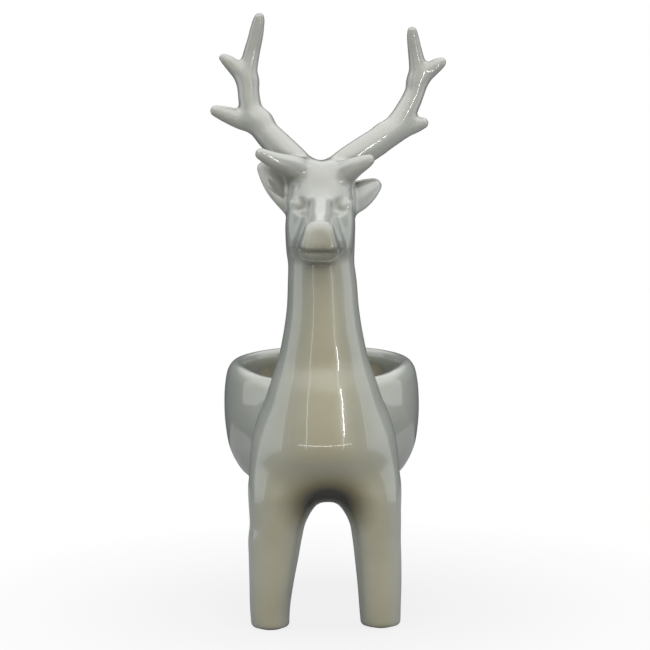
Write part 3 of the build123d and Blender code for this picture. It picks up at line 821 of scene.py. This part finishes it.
def tube(name, path, radius, side, sides=8):
    """A round wire along a path that never runs along side."""
    ahead = np.gradient(path, axis=0)
    ahead /= np.linalg.norm(ahead, axis=1)[:, None]
    u = np.cross(ahead, side)
    u /= np.linalg.norm(u, axis=1)[:, None]
    v = np.cross(ahead, u)
    angle = np.linspace(0, 2 * math.pi, sides, endpoint=False)[None, :, None]
    rings = path[:, None] + radius * (np.cos(angle) * u[:, None] + np.sin(angle) * v[:, None])
    return ring_mesh(name, rings, closed=False)


def joined(name, meshes):
    """Several meshes as one."""
    bm = bmesh.new()
    for mesh in meshes:
        bm.from_mesh(mesh)
    whole = bpy.data.meshes.new(name)
    bm.to_mesh(whole)
    bm.free()
    whole.set_sharp_from_angle(angle=SHARP_ANGLE)
    return whole


def thread(start, end, middle_radius, depth, pitch):
    """Rows of a right-hand thread that runs out at both ends."""
    rows = []
    for along in np.linspace(start, end, round(abs(end - start) / pitch * THREAD_ROWS) + 1):
        height = depth * min(1.0, abs(along - start) / pitch, abs(end - along) / pitch)
        phase = 2 * math.pi * along / pitch
        rows.append((along, lambda angle, h=height, p=phase: middle_radius + h * np.cos(p + angle)))
    return rows


def place_lathe(node, name, body, slot, rows, **how):
    """Makes a turned piece that stands for one CAD node."""
    place_piece(name, lathe(name, rows, **how), body, [node], slot)


def lamp_pipe():
    """A pipe threaded from end to end."""
    front, back = span("lamp_pipe", 1)
    crest, bore = half_width("lamp_pipe"), 3.6
    outside = thread(front + 0.5, back - 0.5, crest - PIPE_DEPTH, PIPE_DEPTH, PIPE_PITCH)
    rows = [(front, bore + 0.2), (front, crest - 0.7), *outside, (back, crest - 0.7), (back, bore + 0.2)]
    rows += [(back - 0.3, bore), (front + 0.3, bore)]
    place_lathe("lamp_pipe", "threaded_lamp_pipe", "figure", "brass", rows, sides=48)


def washer_pair(node, name, slot, thick, edge):
    """Two washers at the ends of the node's box, with rounded edges."""
    front, back = span(node, 1)
    outer = half_width(node)
    rings = []
    for low in (front, back - thick):
        high = low + thick
        rows = [(low, WASHER_BORE + edge), (low, outer - edge), (low + 0.35 * edge, outer - 0.3 * edge)]
        rows += [(low + edge, outer), (high - edge, outer), (high - 0.35 * edge, outer - 0.3 * edge)]
        rows += [(high, outer - edge), (high, WASHER_BORE + edge)]
        rows += [(high - edge, WASHER_BORE), (low + edge, WASHER_BORE)]
        rings.append(lathe(name, rows, sides=72))
    place_piece(name, joined(name, rings), "figure", [node], slot)


def locknuts():
    """Two six-sided nuts with chamfered corners."""
    front, back = span("locknuts", 1)
    flat, thick, bore = 7.15, 4.0, 5.15

    def hexagon(reach):
        def radius(angle):
            across = flat / np.cos((angle + math.pi / 6) % (math.pi / 3) - math.pi / 6)
            return np.minimum(across, reach)

        return radius

    nuts = []
    for low in (front, back - thick):
        high = low + thick
        rows = [(low, bore + 0.5), (low, hexagon(flat - 0.1)), (low + 0.3, hexagon(flat + 0.35))]
        rows += [(low + 0.9, hexagon(flat + 1.2)), (high - 0.9, hexagon(flat + 1.2))]
        rows += [(high - 0.3, hexagon(flat + 0.35)), (high, hexagon(flat - 0.1)), (high, bore + 0.5)]
        rows += [(high - 0.5, bore), (low + 0.5, bore)]
        nuts.append(lathe("locknut", rows, sides=96))
    place_piece("chamfered_locknuts", joined("chamfered_locknuts", nuts), "figure", ["locknuts"], "brass")


def cord_bushing():
    """Moulded bushing, ribbed for the fingers, with a rounded mouth for the flex."""
    front, back = span("cord_bushing", 1)
    outer, bore, counterbore = half_width("cord_bushing"), 3.3, 5.15

    def ribs(depth):
        return lambda angle: outer - depth * (0.5 - 0.5 * np.cos(24 * angle)) ** 2

    shoulder = back - 1.5
    rows = [(front, counterbore + 0.2), (front, outer - 0.5), (front + 0.4, ribs(0.1))]
    rows += [(front + 0.9, ribs(0.5)), (back - 1.6, ribs(0.5)), (back - 1.0, outer - 0.25)]
    rows += [(back - 0.4, outer - 0.8), (back, outer - 1.7), (back, bore + 0.6), (back - 0.2, bore + 0.2)]
    rows += [(back - 0.6, bore), (shoulder, bore), (shoulder, counterbore), (front + 0.2, counterbore)]
    place_lathe("cord_bushing", "ribbed_cord_bushing", "figure", "brown_plastic", rows, sides=144)


def switch_knob():
    """A fluted knob with a collar at its foot and a dished top."""
    low, high = span("switch_knob", 2)
    about = upright(mid_of("switch_knob", 0), mid_of("switch_knob", 1))
    outer = half_width("switch_knob")

    def flutes(edge, depth):
        return lambda angle: edge - depth * np.abs(np.sin(6 * angle)) ** 3

    rows = [(low, 0.0), (low, outer - 0.9), (low + 0.3, outer - 0.5), (low + 1.5, outer - 0.5)]
    rows += [(low + 1.8, flutes(outer - 0.35, 0.35)), (low + 2.3, flutes(outer, 0.75))]
    rows += [(high - 1.4, flutes(outer - 0.1, 0.75)), (high - 0.6, flutes(outer - 0.45, 0.5))]
    rows += [(high - 0.15, outer - 1.2), (high, outer - 1.9), (high - 0.1, outer - 2.5), (high - 0.5, 1.4)]
    rows += [(high - 0.6, 0.0)]
    how = {"place": about, "closed": False, "sides": 144}
    place_lathe("switch_knob", "fluted_switch_knob", "switch", "phenolic", rows, **how)


def screw_shell():
    """Thin sheet-metal shell, rolled with the thread, with its floor turned in."""
    front, back = span("screw_shell", 1)
    outer, sheet, hole = half_width("screw_shell"), 0.25, 3.0
    middle_radius = outer - 0.17
    outside = thread(front + 0.6, back - 1.4, middle_radius, E12_DEPTH, E12_PITCH)
    inside = thread(back - 1.4, front + 0.6, middle_radius - sheet, E12_DEPTH, E12_PITCH)
    rows = [(front, outer - sheet), (front, outer - 0.02), *outside]
    rows += [(back - 0.4, middle_radius - 0.1), (back, middle_radius - 0.6), (back, hole)]
    rows += [(back - sheet, hole), (back - sheet, middle_radius - 0.75)]
    rows += [(back - 0.7, middle_radius - sheet), *inside]
    place_lathe("screw_shell", "threaded_screw_shell", "figure", "brass", rows)


def bulb_cap():
    """Sheet-metal cap with a rolled thread, drawn in at its foot."""
    front, back = span("bulb_cap", 1)
    outer, sheet = half_width("bulb_cap"), 0.22
    middle_radius = outer - 0.25
    outside = thread(front + 1.4, back - 0.9, middle_radius, E12_DEPTH, E12_PITCH)
    inside = thread(back - 0.9, front + 1.4, middle_radius - sheet, E12_DEPTH, E12_PITCH)
    rows = [(front, outer - 0.3), (front + 0.3, outer - 0.05), (front + 1.0, outer - 0.05), *outside]
    rows += [(back - 0.3, middle_radius - 0.35), (back, middle_radius - 1.2)]
    rows += [(back - sheet, middle_radius - 1.3), (back - 0.5, middle_radius - 0.6), *inside]
    rows += [(front + 0.3, outer - 0.32)]
    place_lathe("bulb_cap", "threaded_bulb_cap", "bulb", "brass", rows)


def bulb_insulator():
    """The domed black glass at the foot of the cap."""
    front, back = span("bulb_insulator", 1)
    outer = half_width("bulb_insulator")
    rows = [(front, 0.0), (front, outer - 0.9), (front + 0.6, outer - 0.15), (back - 0.9, outer)]
    rows += [(back - 0.5, outer - 0.3), (back - 0.15, outer - 1.1), (back, outer - 2.0), (back, 0.0)]
    place_lathe("bulb_insulator", "domed_bulb_insulator", "bulb", "black_glass", rows, closed=False)


def solder_button():
    """The lumpy button of solder that touches the centre contact."""
    front, back = span("bulb_contact_button", 1)
    outer, foot = half_width("bulb_contact_button"), 0.25

    def lumps(share):
        swell = outer * math.sqrt(1 - share**2)
        return lambda angle: swell * (1 - 0.05 * (1 - share) * (1 + np.sin(3 * angle + 1)))

    rows = [(front, 0.0), (front, outer - 0.4)]
    rows += [
        (front + foot + (back - front - foot) * share, lumps(share)) for share in np.linspace(0.0, 0.98, 9)
    ]
    rows.append((back, 0.0))
    how = {"closed": False, "sides": 48}
    place_lathe("bulb_contact_button", "solder_button", "bulb_tip", "solder", rows, **how)


# distance in front of the cap, outside radius
BULB = [(-6, 5.2), (-1, 5.2), (4, 6.2), (10, 8.8), (17, 10.9), (24, 10.6), (31, 7.6), (35.6, 4.0)]


def bulb_glass():
    """A blown flame-shaped envelope of even thickness."""
    cap_front = span("bulb_cap", 1)[0]
    tip = span("bulb_glass", 1)[0]
    wall = 0.6
    outline = curve_through(BULB)
    places = np.linspace(BULB[0][0], BULB[-1][0], 48)
    (radii,) = outline(places)
    outer = [(cap_front - d, r) for d, r in zip(places, radii)]
    last_y, last_r = outer[-1]
    nose = last_y - tip
    for turn in np.linspace(0, math.pi / 2, 8)[1:]:
        outer.append((last_y - nose * math.sin(turn), last_r * math.cos(turn)))
    line = np.array(outer)
    slope = np.gradient(line, axis=0)
    slope /= np.linalg.norm(slope, axis=1)[:, None]
    inner = line + wall * np.stack([-slope[:, 1], slope[:, 0]], 1) * np.sign(slope[0, 0])
    inner[-1] = (tip + wall, 0.0)
    inner[:, 1] = np.maximum(inner[:, 1], 0.0)
    rim = [(line[0, 0] + 0.1, (line[0, 1] + inner[0, 1]) / 2)]
    rows = [*inner[::-1].tolist(), *rim, *line.tolist()]
    place_lathe("bulb_glass", "blown_bulb_glass", "bulb", "clear_glass", rows, closed=False, sides=72)


def bulb_stem():
    """The glass foot in the bulb's neck: flared where it meets the neck, pressed flat at its top."""
    front, back = span("bulb_stem", 1)
    round_radius = half_width("bulb_stem")

    def pressed(share):
        return lambda angle: round_radius / np.sqrt(np.cos(angle) ** 2 + (np.sin(angle) / share) ** 2)

    rows = [(front, 0.0), (front + 0.1, pressed(0.35)), (front + 3.5, pressed(0.42))]
    rows += [(front + 6, pressed(0.8)), (front + 8, pressed(0.98)), (back - 0.2, pressed(1.0)), (back, 0.0)]
    place_lathe("bulb_stem", "pressed_glass_stem", "bulb", "clear_glass", rows, closed=False, sides=40)


def lead_wires():
    """Two wires that spread apart from the stem to the ends of the filament."""
    front, back = span("bulb_lead_wires", 1)
    spread = half_width("bulb_lead_wires") - 0.3
    bends = [(0, 1.2, back), (1, 1.2, back - 1.6), (2, spread * 0.6, back - 5), (3, spread, front + 0.6)]
    across, place = curve_through(bends)(np.linspace(0, 3, 28))
    wires = []
    for side in (-1, 1):
        path = np.stack([side * across, place, np.full_like(across, LAMP_Z)], 1)
        wires.append(tube("lead_wire", path, 0.25, (0, 0, 1)))
    place_piece("bent_lead_wires", joined("bent_lead_wires", wires), "bulb", ["bulb_lead_wires"], "nickel")


def filament():
    """A fine coil between the two wires."""
    left, right = span("bulb_filament", 0)
    middle_y = mid_of("bulb_filament", 1)
    coil, wire, turns = 0.36, 0.07, 26
    turn = np.linspace(0, 2 * math.pi * turns, turns * 14)
    x = np.linspace(left + wire, right - wire, len(turn))
    path = np.stack([x, middle_y + coil * np.cos(turn), LAMP_Z + coil * np.sin(turn)], 1)
    mesh = tube("coiled_filament", path, wire, (1, 0, 0), sides=6)
    place_piece("coiled_filament", mesh, "bulb", ["bulb_filament"], "tungsten")


def felt_pads():
    """Die-cut felt discs, a little frayed and rounded at the edge."""
    for corner in ("front_left", "front_right", "hind_left", "hind_right"):
        node = f"{corner}_felt_pad"
        low, high = span(node, 2)
        x, y = mid_of(node, 0), mid_of(node, 1)
        outer = half_width(node)

        def frayed(inset, outer=outer, shift=x):
            def radius(angle):
                return outer - inset - 0.08 * (1 + np.sin(17 * angle + shift) * np.sin(31 * angle))

            return radius

        rows = [(low, 0.0), (low, frayed(0.3)), (low + 0.2, frayed(0.05)), (high - 0.2, frayed(0.05))]
        rows += [(high, frayed(0.25)), (high, 0.0)]
        how = {"place": upright(x, y), "closed": False, "sides": 96}
        place_lathe(node, f"{corner}_felt_disc", "figure", "felt", rows, **how)


def lamp_fittings():
    lamp_pipe()
    washer_pair("rubber_washers", "moulded_rubber_washers", "black_rubber", RUBBER_THICK, 0.4)
    washer_pair("steel_washers", "stamped_steel_washers", "zinc_steel", STEEL_THICK, 0.18)
    locknuts()
    cord_bushing()
    switch_knob()
    screw_shell()
    bulb_cap()
    bulb_insulator()
    solder_button()
    bulb_glass()
    bulb_stem()
    lead_wires()
    filament()
    felt_pads()


# ---- studio ------------------------------------------------------------------------------------
CAMERA_DISTANCE = 1500.0
CAMERA_AZIMUTH, CAMERA_ELEVATION, CAMERA_ROLL = (math.radians(a) for a in (1.8, 7.0, 0.6))
CAMERA_TARGET = Vector((1.3, 0.0, 190.5))
VIEW_WIDTH = 401.7  # how much the camera takes in at the target
SENSOR_WIDTH = 36.0


def camera():
    """Stands in front of the stag, a little above it and to one side, and looks at its middle."""
    ahead = Vector((
        math.sin(CAMERA_AZIMUTH) * math.cos(CAMERA_ELEVATION),
        math.cos(CAMERA_AZIMUTH) * math.cos(CAMERA_ELEVATION),
        -math.sin(CAMERA_ELEVATION),
    ))
    data = bpy.data.cameras.new("camera")
    data.sensor_width = SENSOR_WIDTH
    data.lens = data.sensor_width * CAMERA_DISTANCE / VIEW_WIDTH
    made = bpy.data.objects.new("camera", data)
    made.location = STAG_ORIGIN + (CAMERA_TARGET - ahead * CAMERA_DISTANCE) * MM
    turn = ahead.to_track_quat("-Z", "Y").to_matrix() @ Matrix.Rotation(-CAMERA_ROLL, 3, "Z")
    made.rotation_euler = turn.to_euler()
    bpy.context.scene.collection.objects.link(made)
    bpy.context.scene.camera = made


def softbox(name, place, aim, size, power):
    """A rectangular light that the camera doesn't see."""
    data = bpy.data.lights.new(name, "AREA")
    data.shape = "RECTANGLE"
    data.size, data.size_y = size
    data.energy = power
    made = bpy.data.objects.new(name, data)
    made.location = place
    made.rotation_euler = (Vector(aim) - Vector(place)).to_track_quat("-Z", "Y").to_euler()
    made.visible_camera = False
    bpy.context.scene.collection.objects.link(made)
    return made


# Round the horizon from straight behind the camera: the share of a half turn, and the light there.
ROOM = [
    (0.00, (0.52, 0.49, 0.39)), (0.163, (0.50, 0.48, 0.39)), (0.167, (3.2, 3.3, 3.3)),
    (0.172, (3.2, 3.3, 3.3)), (0.177, (0.34, 0.37, 0.38)), (0.398, (0.34, 0.37, 0.39)),
    (0.402, (2.3, 2.5, 2.6)), (0.410, (0.98, 1.06, 1.13)), (0.612, (0.98, 1.06, 1.13)),
    (0.618, (0.13, 0.14, 0.145)), (1.00, (0.09, 0.09, 0.09)),
]
# From straight down to straight up: how much of the room's light, and the ceiling's own light.
HEIGHT = [(0.0, 0.30), (0.30, 0.40), (0.42, 1.0), (0.72, 1.0), (0.80, 0.6), (1.0, 0.5)]
CEILING = [(0.0, 0.0), (0.70, 0.0), (0.84, 1.5), (1.0, 1.6)]


def room_light():
    """The room that the glaze reflects: beige behind the camera, then a thin bright line, grey, and a
    tall window at each side, dim beyond. The camera itself sees white."""
    world = bpy.data.worlds.new("studio")
    world.use_nodes = True
    tree = Tree(world.node_tree)
    direction = tree.node("ShaderNodeSeparateXYZ")
    tree.link(tree.node("ShaderNodeTexCoord").outputs["Generated"], direction.inputs[0])
    x, y, z = direction.outputs
    turn = tree.math("ARCTAN2", tree.math("ABSOLUTE", x), tree.math("MULTIPLY", y, -1.0))
    round_the_room = tree.ramp(tree.math("DIVIDE", turn, math.pi), *ROOM)
    rise = tree.math("MULTIPLY_ADD", z, 0.5, 0.5)
    shade = tree.ramp(rise, *((at, (v,) * 3) for at, v in HEIGHT))
    ceiling = tree.ramp(rise, *((at, (v,) * 3) for at, v in CEILING))
    light = tree.mix(1.0, tree.mix(1.0, round_the_room, shade, "MULTIPLY"), ceiling, "ADD")
    seen = tree.node("ShaderNodeLightPath").outputs["Is Camera Ray"]
    tree.link(tree.mix(seen, light, (1.0, 1.0, 1.0)), world.node_tree.nodes["Background"].inputs["Color"])
    bpy.context.scene.world = world


def floor():
    """A floor that is pale to the camera and turns white away from the lamp, but throws less light."""
    bpy.ops.mesh.primitive_grid_add(x_subdivisions=8, y_subdivisions=8, size=0.9)
    made = bpy.context.object
    made.name = "floor"
    paint = Material("floor_paint", Roughness=0.9)
    grain = paint.ramp(paint.noise(30.0), (0.3, (0.21,) * 3), (0.7, (0.23,) * 3))
    paint.to_shader(grain, "Base Color")
    away = paint.node("ShaderNodeVectorMath", operation="LENGTH")
    paint.link(paint.place(), away.inputs[0])
    distance = paint.math("DIVIDE", away.outputs["Value"], 2.0)
    fade = paint.ramp(distance, (0.03, (0.84,) * 3), (0.14, (1,) * 3))
    seen = paint.node("ShaderNodeLightPath").outputs["Is Camera Ray"]
    white = paint.node("ShaderNodeEmission", Color=(1, 1, 1, 1), Strength=1.0)
    both = paint.node("ShaderNodeMixShader")
    paint.link(paint.math("MULTIPLY", fade, seen), both.inputs["Fac"])
    paint.link(paint.shader.outputs["BSDF"], both.inputs[1])
    paint.link(white.outputs["Emission"], both.inputs[2])
    paint.link(both.outputs["Shader"], paint.tree.nodes["Material Output"].inputs["Surface"])
    made.data.materials.append(paint.made)
    made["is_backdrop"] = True


def studio():
    bpy.context.scene.view_settings.view_transform = "Standard"
    room_light()
    floor()
    softbox("front_light", (0.10, -1.00, 0.66), (0, 0, 0.22), (0.8, 0.4), 3.0).visible_glossy = False
    softbox("strip_light", (0.74, -1.20, 0.45), (0, 0, 0.2), (0.022, 0.8), 2.2)
    softbox("sill_light", (0.0, -0.62, 0.03), (0, 0, 0.11), (1.1, 0.010), 0.28).visible_diffuse = False


def dress_cad_nodes():
    """Gives each CAD node the material of its slot, for those that keep their own shape."""
    slots = {part["node"]: part["material_slot"] for part in frame["record"]["subparts"]}
    for node, shown in frame["nodes"].items():
        shown.data.materials.clear()
        shown.data.materials.append(MATERIALS[slots[node]])


dress_cad_nodes()
glazed_stag()
lamp_fittings()
camera()
studio()

sizes = {"cad": cad_box, "visual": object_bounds()}
{key: [list(corner) for corner in box] for key, box in sizes.items()}
